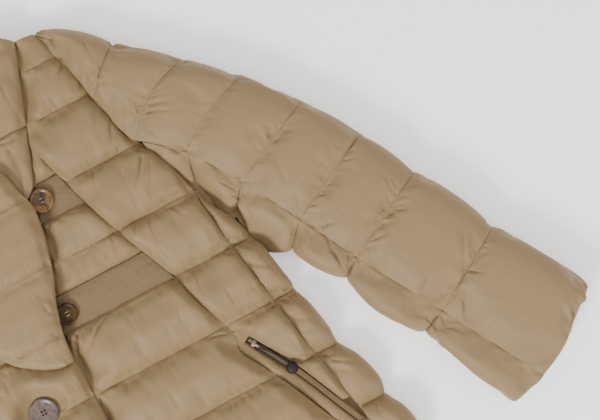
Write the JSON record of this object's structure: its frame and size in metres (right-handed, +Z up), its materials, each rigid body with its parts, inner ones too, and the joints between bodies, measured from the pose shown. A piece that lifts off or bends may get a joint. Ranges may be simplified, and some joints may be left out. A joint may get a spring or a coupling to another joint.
{
  "type": "long puffer coat laid flat",
  "caption": "Long quilted down coat laid flat on its back, front up, with open lapels, spread sleeves, slanted zip pockets and a buttoned front",
  "frame": {"origin": "centre of the coat's bounding box, on the surface that it lies on", "axes": "+X to the wearer's left, +Y from the hem towards the collar, +Z up, out of the coat's front"},
  "size_m": [1.078, 1.149, 0.0494],
  "materials": {
    "shell_cloth": "fine plain-woven down-proof shell cloth, light khaki, with a soft sheen",
    "band_cloth": "plain matt khaki facing cloth",
    "zip_tape": "woven zip tape, khaki",
    "slider_metal": "satin nickel-copper",
    "pull_plastic": "moulded, slate brown",
    "button_amber": "mottled horn effect, dark brown and amber",
    "button_brown": "polished dark brown",
    "button_grey": "polished grey-beige horn effect"
  },
  "bodies": {
    "coat": {"back": "shell_cloth", "left_front": "shell_cloth", "right_front": "shell_cloth", "left_front_side": "shell_cloth", "right_front_side": "shell_cloth", "left_side": "shell_cloth", "right_side": "shell_cloth", "left_top_sleeve": "shell_cloth", "right_top_sleeve": "shell_cloth", "left_under_sleeve": "shell_cloth", "right_under_sleeve": "shell_cloth", "collar": "shell_cloth", "left_lapel": "shell_cloth", "right_lapel": "shell_cloth", "left_pocket_welt": "shell_cloth", "right_pocket_welt": "shell_cloth", "button_band_1": "band_cloth", "button_band_2": "band_cloth", "left_zip": "zip_tape", "right_zip": "zip_tape", "left_slider": "slider_metal", "right_slider": "slider_metal", "button_1": "button_amber", "button_2": "button_brown", "button_3": "button_grey", "button_4": "button_grey", "button_5": "button_grey", "button_6": "button_grey", "button_7": "button_grey"},
    "pull_left": {"left_pull": "pull_plastic"},
    "pull_right": {"right_pull": "pull_plastic"}
  },
  "joints": [
    {"name": "left_pull_lift", "type": "hinge", "parent": "coat", "child": "pull_left", "pos_m": [0.21815, 0.13446, 0.0208], "axis": [-0.8599, -0.5104, 0], "range_deg": [0, 130]},
    {"name": "right_pull_lift", "type": "hinge", "parent": "coat", "child": "pull_right", "pos_m": [-0.21815, 0.13446, 0.0208], "axis": [-0.8599, 0.5104, 0], "range_deg": [0, 130]}
  ]
}
